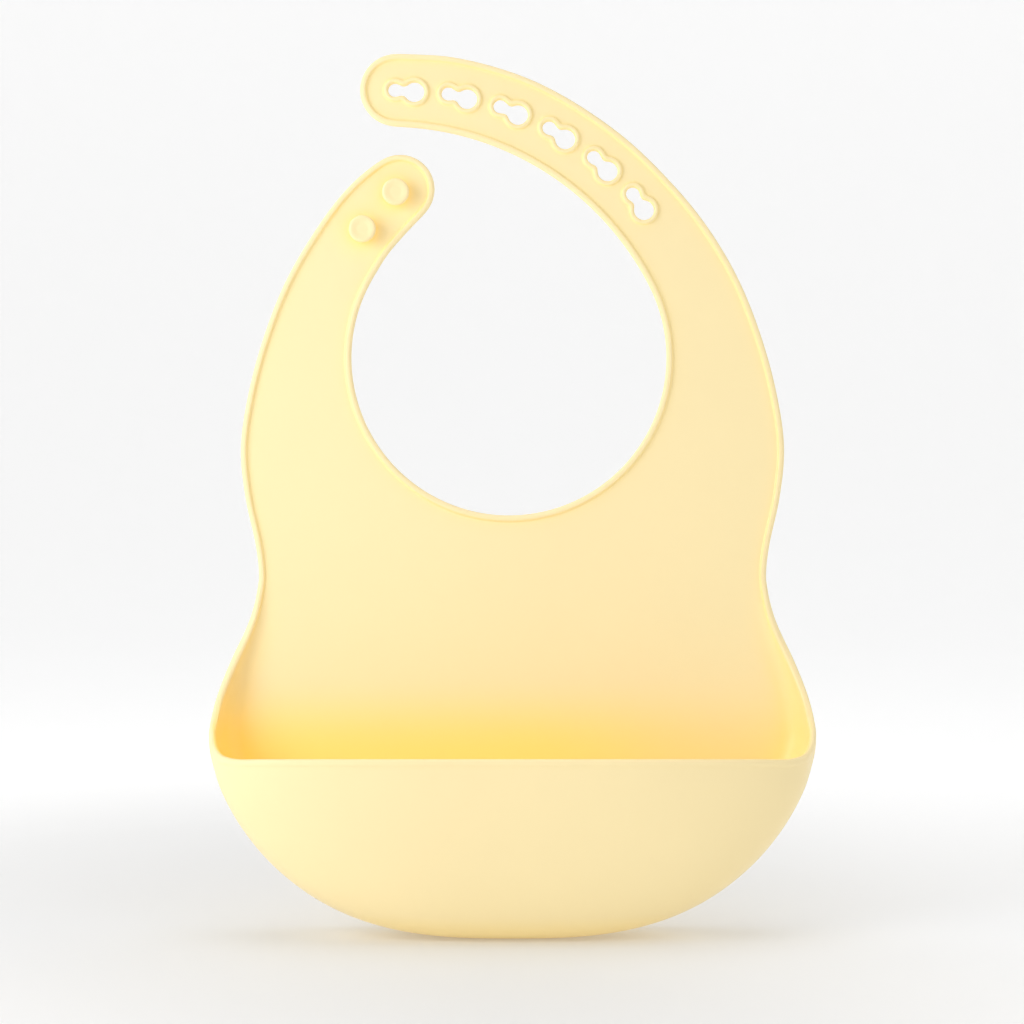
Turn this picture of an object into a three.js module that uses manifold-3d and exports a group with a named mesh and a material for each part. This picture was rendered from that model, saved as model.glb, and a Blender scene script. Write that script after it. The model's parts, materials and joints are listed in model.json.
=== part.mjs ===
// A baby's silicone bib: a flat chest panel with two neck straps, and a deep crumb catcher below.
// The long strap carries six keyholes, and the short strap ends in a tab with two button studs.
// Axes: x to the right, z up, the flat back lies on y = 0 and the front faces -y.
// The silicone is one moulding; its sections here are the stretches between the lines it bends at.
// The dimensions below count x from the middle of the panel. The neck opening lies a little to the left of it,
// and its centre is the origin of the finished bib.
import * as THREE from "three";
import { mergeVertices } from "three/addons/utils/BufferGeometryUtils.js";
import Module from "manifold-3d";

const wasm = await Module();
wasm.setup();

// Silicone thickness and edge bead (mm)
const SHEET = 2.0;
const BEAD_HEIGHT = 3.2;
const BEAD_WIDTH = 2.6;
const RIM_SWELL = 0.25;
const GAP = 0.3;

// Outline of the right-hand edge, from the top of the long strap down to the catcher's widest point
const STRAP_TOP = [[-19.8, 107.8], [8.5, 99.2], [36.9, 81.9], [55.6, 64.6]];
const SIDE = [
  [69.8, 47.5], [81.3, 28.1], [89.8, 6.5], [95.4, -15], [97.7, -33], [95.9, -51],
  [92.2, -68], [91.2, -80], [94.9, -94.3], [100.6, -108], [105.2, -122], [107.1, -135],
];
const TIP = { x: -41.8, z: 96.2, radius: 13.2, start: 86 };
const NECK = { x: -1.3, radius: 56.6, end: -213 };
const STRAP_INNER = { radius: 105, start: 27 };
const TAB = { x: -40.4, z: 60.6, radius: 12.6, start: -50, end: 128 };
const TAB_SHOULDER = [[-53.4, 66.6], [-60.9, 59.3]];
const TAB_THROAT = [[-45.3, 36.5], [-38.4, 44.6]];

// Keyholes along the long strap, counted from its tip
const KEYHOLE = {
  count: 6, arcX: -40.3, arcZ: -15.8, arcRadius: 111.3, first: 89.2, pitch: 9.84,
  small: 2.45, big: 3.6, neck: 1.95, apart: 7.0, collar: 1.8, collarHeight: 3.0,
};

// Button studs on the tab: stem, head and their places
const STUD = {
  stem: 2.2, foot: 0.5, footHeight: 0.8, head: 4.9, headBottom: 5.2, headTop: 7.2, round: 0.6, rim: 1.6, dish: 0.4,
  steps: 16, places: [[-41.8, 59.0], [-53.7, 45.8]],
};

// Crumb catcher
const WING_TOP = -84;
const WAIST = -80;
const BOWL = { halfWidth: 107.1, top: -135, height: 68.8, sideways: 2.8, down: 1.52 };
const SIDE_DEPTH = 19;
const BOTTOM_DEPTH = 25;
const FRONT_DEPTH = 47;
const WING_CURVE = 1.4;
const FRONT_CURVE = 1.3;
const SIDE_FILLET = 10;
const BOTTOM_FILLET = 14;
const LIP = { z: -139.3, crown: 0.11, cornerX: 100.5, cornerRadius: 6.5, cornerStart: -4 };

// Lines that the silicone bends at
const WAIST_FOLD = -78;
const STRAP_FOLD = 4;
const SHORT_CURL = { x: -75, z: 30, angle: 53 };
const LONG_CURL = { x: 57.3, z: 40.2, angle: 123 };
const TIP_CURL = { x: 8.4, z: 85, angle: 154.9 };
const SHORT_SIDE = { left: -150, right: -20, top: 78 };
const FRONT_CUT = 0.72;
const FRONT_GAP = 0.8;
const FRONT_CUT_DEPTH = 26;
const FRONT_CUT_TOP = -95;

// Fineness of the faceted shape
const FAR = 300;
const SAME = 0.01;
const EDGE_STEPS = 3;
const CORNER_STEPS = 5;
const LIP_STEPS = 12;
const LAST_WING = 1;
const WALL_STEPS = 24;
const FRONT_STEPS = 60;
const REGION_STEPS = 40;
const HALF_ROWS = 4;
const KNEE_BLEND = 20;

// Rows along the rim bead: distance from the rim and share of the swell
const RIM_ROWS = [[3.0, 0], [2.4, 1], [0.7, 1], [0, 0]];

const COLOUR = 0xfbe8b2;
const ROUGHNESS = 0.55;

const rad = THREE.MathUtils.degToRad;
const deg = THREE.MathUtils.radToDeg;
const lerp = THREE.MathUtils.lerp;
const point = (x, z) => new THREE.Vector2(x, z);

// ---- Curves in the (x, z) plane ----

// Points on a circle, from one angle to another in degrees.
function arc(x, z, radius, from, to, steps) {
  return Array.from({ length: steps + 1 }, (_, i) => {
    const a = rad(lerp(from, to, i / steps));
    return point(x + radius * Math.cos(a), z + radius * Math.sin(a));
  });
}

// A smooth curve through the given places.
function spline(places, steps) {
  const curve = new THREE.CatmullRomCurve3(places.map(([x, z]) => new THREE.Vector3(x, 0, z)));
  return curve.getPoints(steps * (places.length - 1)).map((p) => point(p.x, p.z));
}

// Consecutive pieces of an outline as one list, without doubled points.
function chain(...pieces) {
  const all = pieces.flat();
  return all.filter((p, i) => i === 0 || p.distanceTo(all[i - 1]) > SAME);
}

// The curve moved to its left by a distance that may differ from point to point.
function shifted(curve, distance) {
  return curve.map((p, i) => {
    const along = curve[Math.min(i + 1, curve.length - 1)].clone().sub(curve[Math.max(i - 1, 0)]);
    const left = point(-along.y, along.x).normalize();
    return p.clone().addScaledVector(left, distance(p, i));
  });
}

// The [x, z] place on a circle at an angle in degrees.
const onCircle = ({ x, z, radius }, angle) => [x + radius * Math.cos(rad(angle)), z + radius * Math.sin(rad(angle))];

const neckCircle = { x: NECK.x, z: 0, radius: NECK.radius };
const leftSide = SIDE.map(([x, z]) => [-x, z]);
const rightEdge = spline([onCircle(TIP, TIP.start), ...STRAP_TOP, ...SIDE], EDGE_STEPS);
const leftEdge = spline([onCircle(TAB, TAB.end), ...TAB_SHOULDER, ...leftSide], EDGE_STEPS);
const throat = spline([onCircle(neckCircle, NECK.end), ...TAB_THROAT, onCircle(TAB, TAB.start)], EDGE_STEPS);

// The free edge of the flat sheet, from the right wing up, round both straps and down to the left wing.
function freeEdge() {
  const reach = NECK.radius - STRAP_INNER.radius;
  const innerX = NECK.x + reach * Math.cos(rad(STRAP_INNER.start));
  const innerZ = reach * Math.sin(rad(STRAP_INNER.start));
  const tipAngle = deg(Math.atan2(TIP.z - innerZ, TIP.x - innerX));
  return chain(
    rightEdge.filter((p) => p.y > WING_TOP).reverse(),
    arc(TIP.x, TIP.z, TIP.radius, TIP.start, 180 + tipAngle, 12),
    arc(innerX, innerZ, STRAP_INNER.radius, tipAngle, STRAP_INNER.start, 12),
    arc(NECK.x, 0, NECK.radius, STRAP_INNER.start, NECK.end, 36),
    throat,
    arc(TAB.x, TAB.z, TAB.radius, TAB.start, TAB.end, 10),
    leftEdge.filter((p) => p.y > WING_TOP),
  );
}

// ---- The catcher's outline and depths ----

// How far down the wing a height is: 0 at the waist, 1 at the widest point.
const wingShare = (z) => THREE.MathUtils.clamp((WAIST - z) / (WAIST - BOWL.top), 0, 1);

// Height of the bowl's outline under a place x.
function bowlHeight(x) {
  const rest = Math.max(0, 1 - Math.pow(Math.abs(x) / BOWL.halfWidth, BOWL.sideways));
  return BOWL.top - BOWL.height * Math.pow(rest, 1 / BOWL.down);
}

// 0 in the middle of the front, 1 on the bowl's outline.
function bowlLevel(x, z) {
  const across = Math.pow(Math.abs(x) / BOWL.halfWidth, BOWL.sideways);
  const below = Math.pow(Math.max(0, BOWL.top - z) / BOWL.height, BOWL.down);
  return Math.min(1, across + below);
}

const outlineDepth = (x) => lerp(SIDE_DEPTH, BOTTOM_DEPTH, (BOWL.top - bowlHeight(x)) / BOWL.height);

function frontDepth(x, z) {
  const bulge = Math.sqrt(Math.max(0, 1 - Math.pow(bowlLevel(x, z), FRONT_CURVE)));
  return lerp(outlineDepth(x), FRONT_DEPTH, bulge);
}

// Width of the curved band between the flat panel and the outline.
const fillet = (p) =>
  lerp(BEAD_WIDTH, SIDE_FILLET, wingShare(p.y)) +
  (BOTTOM_FILLET - SIDE_FILLET) * Math.max(0, (BOWL.top - p.y) / BOWL.height);

const lipHeight = (x) => LIP.z - LIP.crown * (FRONT_DEPTH - frontDepth(x, LIP.z));

// Stations of the right half, from the wing's top round the lip's corner to the middle.
// Each has its place on the outline and its place on the rim.
function rightStations() {
  const wing = rightEdge.filter((p) => p.y <= WING_TOP && p.y > BOWL.top + LAST_WING);
  const cornerZ = lipHeight(LIP.cornerX) + LIP.cornerRadius;
  const corner = arc(LIP.cornerX, cornerZ, LIP.cornerRadius, LIP.cornerStart, -90, CORNER_STEPS);
  const lip = Array.from({ length: LIP_STEPS }, (_, i) => LIP.cornerX * (1 - (i + 1) / LIP_STEPS));
  const underRim = (rim) => ({ outline: point(rim.x, bowlHeight(rim.x)), rim });
  return [
    ...[point(wing[0].x - GAP, WING_TOP), ...wing.slice(1)]
      .map((p) => ({ outline: p, rim: p })),
    ...corner.map(underRim),
    ...lip.map((x) => underRim(point(x, lipHeight(x)))),
  ];
}

// ---- Solids ----

// A solid from a closed geometry.
function solid(geometry) {
  const bare = geometry.clone();
  bare.deleteAttribute("normal");
  bare.deleteAttribute("uv");
  const merged = mergeVertices(bare, 1e-4);
  return new wasm.Manifold(new wasm.Mesh({
    numProp: 3,
    vertProperties: new Float32Array(merged.attributes.position.array),
    triVerts: new Uint32Array(merged.index.array),
  }));
}

// A prism over an outline in the (x, z) plane, between two places along y.
function prism(outline, from, to, holes = []) {
  const shape = new THREE.Shape(outline);
  shape.holes = holes.map((hole) => new THREE.Path(hole));
  const geometry = new THREE.ExtrudeGeometry(shape, { depth: to - from, bevelEnabled: false });
  return solid(geometry.rotateX(Math.PI / 2).translate(0, to, 0));
}

function box(left, right, bottom, top) {
  return prism([point(left, bottom), point(right, bottom), point(right, top), point(left, top)], -FAR, FAR);
}

// Everything beyond a bend line, less half the gap that is left there.
function beyond(line) {
  const plane = new THREE.BoxGeometry(FAR, FAR, FAR).translate(FAR / 2 + GAP / 2, 0, 0);
  return solid(plane.rotateY(-rad(line.angle)).translate(line.x, 0, line.z));
}

const flipped = (line) => ({ ...line, angle: line.angle + 180 });

// The solid named and coloured as one section of the bib, placed from the centre of the neck opening.
function section(name, body) {
  const { vertProperties, triVerts } = body.translate([-NECK.x, 0, 0]).getMesh();
  const geometry = new THREE.BufferGeometry().setIndex(new THREE.BufferAttribute(triVerts, 1));
  geometry.setAttribute("position", new THREE.BufferAttribute(vertProperties, 3));
  geometry.computeVertexNormals();
  const material = new THREE.MeshStandardMaterial({ color: COLOUR, roughness: ROUGHNESS, metalness: 0 });
  const mesh = new THREE.Mesh(geometry, material);
  mesh.name = name;
  return mesh;
}

// A keyhole grown by a margin: a small circle nearer the tip, a big one, and the neck that joins them.
function keyhole(index, margin) {
  const angle = rad(KEYHOLE.first - KEYHOLE.pitch * index);
  const toTip = point(-Math.sin(angle), Math.cos(angle)).multiplyScalar(KEYHOLE.apart / 2);
  const centre = point(Math.cos(angle), Math.sin(angle)).multiplyScalar(KEYHOLE.arcRadius);
  centre.add(point(KEYHOLE.arcX, KEYHOLE.arcZ));
  const small = centre.clone().add(toTip);
  const big = centre.clone().sub(toTip);
  const aside = point(-toTip.y, toTip.x).setLength(KEYHOLE.neck + margin);
  const neck = [small.clone().sub(aside), small.clone().add(aside), big.clone().add(aside), big.clone().sub(aside)];
  return [
    arc(small.x, small.y, KEYHOLE.small + margin, 0, 360, 12).slice(1),
    arc(big.x, big.y, KEYHOLE.big + margin, 0, 360, 16).slice(1),
    neck,
  ];
}

// All keyholes as prisms, between two places along y.
function keyholes(margin, from, to) {
  const outlines = Array.from({ length: KEYHOLE.count }, (_, i) => keyhole(i, margin)).flat();
  return outlines.map((shape) => prism(shape, from, to)).reduce((all, one) => all.add(one));
}

// The whole flat sheet: panel and straps, edge bead, keyholes and their collars.
function flatSheet(junction) {
  const edge = freeEdge();
  const inner = shifted(edge, () => BEAD_WIDTH).reverse();
  const sheet = prism([...edge, ...junction], -SHEET, 0);
  const bead = prism([...edge, ...inner], -BEAD_HEIGHT, -SHEET / 2);
  const collars = keyholes(KEYHOLE.collar, -KEYHOLE.collarHeight, -SHEET / 2);
  return sheet.add(bead).add(collars).subtract(keyholes(0, -FAR, FAR));
}

// ---- The catcher's shell ----

// One cross-section: from the flat panel out to the outline, then up the front to the rim.
function profile(station, inward) {
  const { outline, rim } = station;
  const band = fillet(outline);
  const share = wingShare(outline.y);
  const depth = rim === outline ? SIDE_DEPTH * Math.pow(share, WING_CURVE) : outlineDepth(outline.x);
  const at = (inset, y) => new THREE.Vector3(outline.x + inward.x * inset, -y, outline.y + inward.y * inset);
  const wall = new THREE.QuadraticBezierCurve3(at(band, 0), at(band / 2 * (1 - share), 0), at(0, depth));
  const points = wall.getPoints(WALL_STEPS);
  const rise = rim.y - outline.y;
  for (let i = 1; rise > 0 && i <= FRONT_STEPS; i++) {
    const z = outline.y + rise * Math.pow(i / FRONT_STEPS, 2);
    points.push(new THREE.Vector3(outline.x, -frontDepth(outline.x, z), z));
  }
  return points;
}

// Places along a cross-section at chosen distances from its start.
function along(points, distances) {
  const lengths = [0];
  points.slice(1).forEach((p, i) => lengths.push(lengths[i] + p.distanceTo(points[i])));
  const total = lengths[lengths.length - 1];
  return distances(total, lengths[WALL_STEPS]).map((d) => {
    const want = THREE.MathUtils.clamp(d, 0, total);
    const i = Math.max(1, lengths.findIndex((l) => l >= want - 1e-9));
    return points[i - 1].clone().lerp(points[i], (want - lengths[i - 1]) / (lengths[i] - lengths[i - 1]));
  });
}

// Distances of the grid's rows: half of them reach the outline, the others the rim bead.
function rows(total, wall) {
  const bead = Math.min(RIM_ROWS[0][0], total / 2);
  const plain = total - bead;
  const knee = lerp(plain / 2, wall, THREE.MathUtils.clamp((total - wall) / KNEE_BLEND, 0, 1));
  const main = Array.from({ length: 2 * HALF_ROWS }, (_, i) =>
    i < HALF_ROWS ? (knee * i) / HALF_ROWS : lerp(knee, plain, (i - HALF_ROWS) / HALF_ROWS));
  return [...main, ...RIM_ROWS.map(([d]) => total - (d * bead) / RIM_ROWS[0][0])];
}

// The catcher as one closed shell: an outer grid, an inner grid a sheet's thickness away, and its edges.
function catcherShell(stations, inwards) {
  const outer = stations.map((s, i) => along(profile(s, inwards[i]), rows));
  const count = outer[0].length;
  const swell = (row) => (row < 2 * HALF_ROWS ? 0 : RIM_SWELL * RIM_ROWS[row - 2 * HALF_ROWS][1]);
  const normal = (i, j) => {
    if (j === 0) return new THREE.Vector3(0, -1, 0);
    const across = outer[Math.min(i + 1, outer.length - 1)][j].clone().sub(outer[Math.max(i - 1, 0)][j]);
    const up = outer[i][Math.min(j + 1, count - 1)].clone().sub(outer[i][j - 1]);
    return across.cross(up).normalize();
  };
  const vertices = [];
  [0, 1].forEach((side) => outer.forEach((line, i) => line.forEach((p, j) => {
    const offset = side === 0 ? -swell(j) : SHEET + swell(j);
    vertices.push(...p.clone().addScaledVector(normal(i, j), offset).toArray());
  })));
  return solid(shellGeometry(vertices, outer.length, count));
}

// Triangles of a two-sided grid that is closed all round.
function shellGeometry(vertices, width, height) {
  const index = [];
  const id = (side, i, j) => (side * width + i) * height + j;
  const quad = (a, b, c, d) => index.push(a, b, c, a, c, d);
  for (let i = 0; i < width - 1; i++) {
    for (let j = 0; j < height - 1; j++) {
      quad(id(0, i, j), id(0, i, j + 1), id(0, i + 1, j + 1), id(0, i + 1, j));
      quad(id(1, i, j), id(1, i + 1, j), id(1, i + 1, j + 1), id(1, i, j + 1));
    }
    quad(id(0, i, 0), id(0, i + 1, 0), id(1, i + 1, 0), id(1, i, 0));
    quad(id(0, i, height - 1), id(1, i, height - 1), id(1, i + 1, height - 1), id(0, i + 1, height - 1));
  }
  for (let j = 0; j < height - 1; j++) {
    quad(id(0, 0, j), id(1, 0, j), id(1, 0, j + 1), id(0, 0, j + 1));
    quad(id(0, width - 1, j), id(0, width - 1, j + 1), id(1, width - 1, j + 1), id(1, width - 1, j));
  }
  const geometry = new THREE.BufferGeometry();
  geometry.setAttribute("position", new THREE.Float32BufferAttribute(vertices, 3));
  return geometry.setIndex(index);
}

// The part of the front that flexes: everything up to a level of the bowl, seen from the front.
function frontRegion(level, margin) {
  const half = BOWL.halfWidth * Math.pow(level, 1 / BOWL.sideways) + margin;
  const drop = BOWL.height * Math.pow(level, 1 / BOWL.down) + margin;
  const curve = Array.from({ length: REGION_STEPS + 1 }, (_, i) => {
    const angle = rad(lerp(0, 180, i / REGION_STEPS));
    const x = half * Math.sign(Math.cos(angle)) * Math.pow(Math.abs(Math.cos(angle)), 2 / BOWL.sideways);
    return point(x, BOWL.top - drop * Math.pow(Math.sin(angle), 2 / BOWL.down));
  });
  const lid = [point(-half, FRONT_CUT_TOP), point(half, FRONT_CUT_TOP)];
  return prism([...curve, ...lid], -FAR, -FRONT_CUT_DEPTH);
}

// A stud: a thin stem under a round, slightly dished head, just in front of the tab.
function stud([x, z]) {
  const { stem, foot, footHeight, head, headBottom, headTop, round, rim, dish } = STUD;
  const base = SHEET + GAP;
  const half = [
    [0, base], [stem + foot, base], [stem, base + footHeight], [stem, headBottom - dish],
    [head - round, headBottom], [head, headBottom + round], [head, headTop - round], [head - round, headTop],
    [head - rim, headTop - dish / 2], [0, headTop - dish],
  ];
  const lathe = new THREE.LatheGeometry(half.map(([r, y]) => point(r, y)), STUD.steps);
  return solid(lathe.rotateX(Math.PI).translate(x, 0, z));
}

// ---- Assembly ----

const right = rightStations();
const left = right.slice(0, -1).reverse().map(({ outline, rim }) => {
  const flat = point(-outline.x, outline.y);
  return { outline: flat, rim: rim === outline ? flat : point(-rim.x, rim.y) };
});
const stations = [...right, ...left];
const outline = stations.map((s) => s.outline);
const inner = shifted(outline, () => -1);
const inwards = outline.map((p, i) => inner[i].clone().sub(p));
const junction = shifted(outline, (p) => -fillet(p) - GAP).reverse();
const sheet = flatSheet(junction);
const shell = catcherShell(stations, inwards);

const half = GAP / 2;
const shortSide = box(SHORT_SIDE.left, SHORT_SIDE.right, STRAP_FOLD + half, SHORT_SIDE.top);
const straps = sheet.intersect(box(-FAR, FAR, STRAP_FOLD + half, FAR));
const shortStrap = straps.intersect(shortSide);
const longStrap = straps.subtract(shortSide);
const pastRoot = longStrap.intersect(beyond(LONG_CURL));

const bib = new THREE.Group();
bib.add(
  section("chest_panel", sheet.intersect(box(-FAR, FAR, WAIST_FOLD + half, STRAP_FOLD - half))),
  section("lower_panel", sheet.intersect(box(-FAR, FAR, -FAR, WAIST_FOLD - half))),
  section("catcher_tray", shell.subtract(frontRegion(FRONT_CUT, FRONT_GAP))),
  section("catcher_front_wall", shell.intersect(frontRegion(FRONT_CUT, 0))),
  section("short_strap", shortStrap.intersect(beyond(flipped(SHORT_CURL)))),
  section("short_strap_tab", shortStrap.intersect(beyond(SHORT_CURL))),
  section("tab_stud_upper", stud(STUD.places[0])),
  section("tab_stud_lower", stud(STUD.places[1])),
  section("long_strap_root", longStrap.intersect(beyond(flipped(LONG_CURL)))),
  section("long_strap_middle", pastRoot.intersect(beyond(flipped(TIP_CURL)))),
  section("long_strap_tip", pastRoot.intersect(beyond(TIP_CURL))),
);

export default bib;
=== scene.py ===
"""A baby's silicone bib on a pale floor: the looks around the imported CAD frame.

The whole bib is laid out as one closed skin: a flat sheet, a rounded bead along the free edge, a raised
collar round each keyhole, and a lofted crumb catcher. It is drawn in millimetres on the CAD's axes, with x
counted from the middle of the panel, and each piece is moved to the CAD's own zero, the centre of the neck
opening. The skin is parted across its bend lines into pieces that follow the CAD bodies.
"""

import json
import math

import bmesh
import bpy
import numpy as np
from mathutils import Vector
from mathutils.geometry import delaunay_2d_cdt
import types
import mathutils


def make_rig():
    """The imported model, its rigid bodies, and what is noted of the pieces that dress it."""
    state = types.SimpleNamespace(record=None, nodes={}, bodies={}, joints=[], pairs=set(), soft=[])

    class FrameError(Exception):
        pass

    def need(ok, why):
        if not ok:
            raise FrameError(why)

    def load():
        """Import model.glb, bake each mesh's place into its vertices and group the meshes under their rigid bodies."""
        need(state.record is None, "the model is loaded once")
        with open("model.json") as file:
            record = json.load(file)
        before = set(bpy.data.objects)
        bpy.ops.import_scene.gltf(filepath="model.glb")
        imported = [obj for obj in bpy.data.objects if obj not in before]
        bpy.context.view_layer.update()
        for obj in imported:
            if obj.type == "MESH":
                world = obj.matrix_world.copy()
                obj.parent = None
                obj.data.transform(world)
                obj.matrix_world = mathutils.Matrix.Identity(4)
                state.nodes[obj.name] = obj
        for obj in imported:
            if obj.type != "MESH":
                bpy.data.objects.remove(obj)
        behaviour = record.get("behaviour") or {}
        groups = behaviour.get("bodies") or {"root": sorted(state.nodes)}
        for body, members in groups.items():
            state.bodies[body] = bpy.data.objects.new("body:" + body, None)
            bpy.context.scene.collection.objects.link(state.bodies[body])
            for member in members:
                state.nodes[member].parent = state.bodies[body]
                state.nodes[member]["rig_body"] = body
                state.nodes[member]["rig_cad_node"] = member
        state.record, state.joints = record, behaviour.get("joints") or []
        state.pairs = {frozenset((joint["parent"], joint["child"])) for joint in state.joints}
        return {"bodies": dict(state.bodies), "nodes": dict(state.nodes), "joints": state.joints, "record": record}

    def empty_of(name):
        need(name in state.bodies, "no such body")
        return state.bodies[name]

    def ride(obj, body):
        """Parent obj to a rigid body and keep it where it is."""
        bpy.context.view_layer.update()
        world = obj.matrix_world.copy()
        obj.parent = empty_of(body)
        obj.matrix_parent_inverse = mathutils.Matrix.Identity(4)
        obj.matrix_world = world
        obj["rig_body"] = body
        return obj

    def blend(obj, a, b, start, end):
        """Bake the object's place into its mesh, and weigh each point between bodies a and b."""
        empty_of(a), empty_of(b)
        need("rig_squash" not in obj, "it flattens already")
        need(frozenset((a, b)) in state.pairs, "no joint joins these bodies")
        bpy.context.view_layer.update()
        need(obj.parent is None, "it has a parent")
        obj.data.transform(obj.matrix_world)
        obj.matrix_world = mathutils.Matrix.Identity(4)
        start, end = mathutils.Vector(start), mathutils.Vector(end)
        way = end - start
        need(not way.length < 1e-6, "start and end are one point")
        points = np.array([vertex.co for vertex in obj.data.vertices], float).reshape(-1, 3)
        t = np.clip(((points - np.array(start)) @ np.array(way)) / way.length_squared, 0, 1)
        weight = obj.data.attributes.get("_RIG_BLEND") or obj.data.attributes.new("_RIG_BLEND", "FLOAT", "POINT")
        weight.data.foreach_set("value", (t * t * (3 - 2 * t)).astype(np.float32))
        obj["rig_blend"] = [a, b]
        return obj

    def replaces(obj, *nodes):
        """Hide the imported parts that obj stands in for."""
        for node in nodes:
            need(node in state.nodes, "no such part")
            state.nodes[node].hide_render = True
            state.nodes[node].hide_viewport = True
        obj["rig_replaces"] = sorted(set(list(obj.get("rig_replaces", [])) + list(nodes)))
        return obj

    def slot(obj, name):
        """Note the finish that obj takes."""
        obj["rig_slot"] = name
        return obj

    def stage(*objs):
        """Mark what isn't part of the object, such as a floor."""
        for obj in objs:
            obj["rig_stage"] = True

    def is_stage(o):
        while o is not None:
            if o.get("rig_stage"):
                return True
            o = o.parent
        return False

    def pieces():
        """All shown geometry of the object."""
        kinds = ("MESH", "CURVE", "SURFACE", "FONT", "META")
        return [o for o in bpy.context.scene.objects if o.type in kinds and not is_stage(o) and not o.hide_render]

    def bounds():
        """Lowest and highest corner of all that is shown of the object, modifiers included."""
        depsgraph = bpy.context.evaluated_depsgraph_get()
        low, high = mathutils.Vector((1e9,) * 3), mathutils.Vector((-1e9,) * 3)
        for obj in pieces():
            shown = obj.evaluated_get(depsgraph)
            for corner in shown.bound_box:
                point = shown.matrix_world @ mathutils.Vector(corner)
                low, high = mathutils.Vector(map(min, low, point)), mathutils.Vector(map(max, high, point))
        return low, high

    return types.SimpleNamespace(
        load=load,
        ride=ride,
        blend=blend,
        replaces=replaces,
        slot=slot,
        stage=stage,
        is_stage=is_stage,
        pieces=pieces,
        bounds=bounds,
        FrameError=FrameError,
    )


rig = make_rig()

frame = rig.load()
cad_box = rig.bounds()

MM = 0.001

# Sheet and edge bead: the bead's rise over the sheet, its width, its softened foot and its rounded nose, the
# smaller rise on the catcher's rim, and the band of skin that carries them
SHEET = 2.0
BEAD_RISE = 1.05
BEAD_WIDTH = 2.6
BEAD_FOOT, BEAD_FADE, BEAD_CROWN = 0.8, 0.15, 0.10
NOSE = 1.1
RIM_RISE = 0.2
BAND = 4.0

# Outline: the right-hand edge from the long strap down to the catcher's widest point, the straps and the neck
STRAP_TOP = [(-19.8, 107.8), (8.5, 99.2), (36.9, 81.9), (55.6, 64.6)]
SIDE = [
    (69.8, 47.5), (81.3, 28.1), (89.8, 6.5), (95.4, -15), (97.7, -33), (95.9, -51),
    (92.2, -68), (91.2, -80), (94.9, -94.3), (100.6, -108), (105.2, -122), (107.1, -135),
]
TIP_X, TIP_Z, TIP_RADIUS = -41.8, 96.2, 13.2
NECK_X, NECK_RADIUS = -1.3, 56.6
STRAP_INNER_RADIUS, STRAP_INNER_START = 105, 27
TAB_X, TAB_Z, TAB_RADIUS = -40.4, 60.6, 12.6
TAB_SHOULDER = [(-53.4, 66.6), (-60.9, 59.3)]
TAB_THROAT = [(-45.3, 36.5), (-38.4, 44.6)]
TIP_ANGLE, TAB_ANGLE, THROAT_ANGLE, NECK_END = 86, 128, -50, -213

# Keyholes: on an arc of their own, each leaning a little off it (degrees) and set a little further out, with
# a collar of its own width and height in a flat ring of skin
KEYHOLES = 6
HOLE_ARC_X, HOLE_ARC_Z, HOLE_ARC_RADIUS = -40.3, -15.8, 111.3
HOLE_FIRST, HOLE_PITCH = 89.2, 9.84
HOLE_SMALL, HOLE_BIG, HOLE_NECK, HOLE_APART = 2.45, 3.6, 1.8, 7.0
HOLE_SOFTNESS = 0.9
HOLE_LEAN, HOLE_OUT = 5, 0.3
COLLAR_WIDTH, COLLAR_RISE, COLLAR_REACH = 1.8, 1.0, 2.6
BACK_ROUND, BACK_DIP = 0.5, 0.25

# Crumb catcher
WAIST = -80
BOWL_HALF, BOWL_TOP, BOWL_HEIGHT, BOWL_SIDEWAYS, BOWL_DOWN = 107.1, -135, 68.8, 2.8, 1.52
SIDE_DEPTH, BOTTOM_DEPTH, FRONT_DEPTH = 19, 25, 47
WING_CURVE = 1.4
WAIST_FILLET, SIDE_FILLET, BOTTOM_FILLET = 7, 10, 14
LIP_Z, LIP_CROWN, LIP_START = -139.3, 0.11, 96
LIP_SQUARE = 3.4
FLOOR_ROUND, WALL_ROUND = 0.80, 0.72
KNEE_FADE = 25
ARRIVE_START, ARRIVE_FULL = 2, 16

# The wing's rim stands off these heights of the outline. At the lip's corner, rim points (x, depth, z) match a
# height of the outline. Further down the outline's own depth is given for distances below the neck's centre.
WING_HEIGHTS = [WAIST, -87, -94.3, -101, -108, -115, -122, -127.5]
LIP_CORNER = [((106.6, 18.7, -132.5), -136), ((105.9, 22.6, -136.4), -144), ((103.4, 27.4, -139.3), -151.5)]
OUTLINE_DEPTHS = [(133, 17.8), (141, 18.8), (156, 20.3), (175, 22.2), (195, 24.4), (204, BOTTOM_DEPTH)]

# Studs on the tab: places, radii, and heights over the flat back
STUDS = {"stud_upper": (-41.8, 59.0), "stud_lower": (-53.7, 45.8)}
STUD_STEM, STUD_HEAD, HEAD_BACK, HEAD_FRONT = 2.2, 4.9, 5.3, 7.2
STUD_FILLET, STUD_DISH = 0.95, 0.32

# Mesh spacing: along an edge, over the flat sheet, rows up the catcher's wall, points on a path from the
# panel to the catcher's outline and on to its rim. Points within MERGE are joined, edges under SLIVER removed.
STEP = 1.25
GRID = 2.8
WALL_ROWS = 30
WALL_POINTS, FRONT_POINTS = 40, 80
MERGE, SLIVER = 0.01, 0.005


# ---- Curves in the (x, z) plane ----

def arc(x, z, radius, start, end):
    """Points on a circle from one angle to another, in degrees."""
    count = max(3, int(abs(math.radians(end - start)) * radius / (0.5 * STEP)))
    a = np.radians(np.linspace(start, end, count + 1))
    return np.column_stack([x + radius * np.cos(a), z + radius * np.sin(a)])


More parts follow.
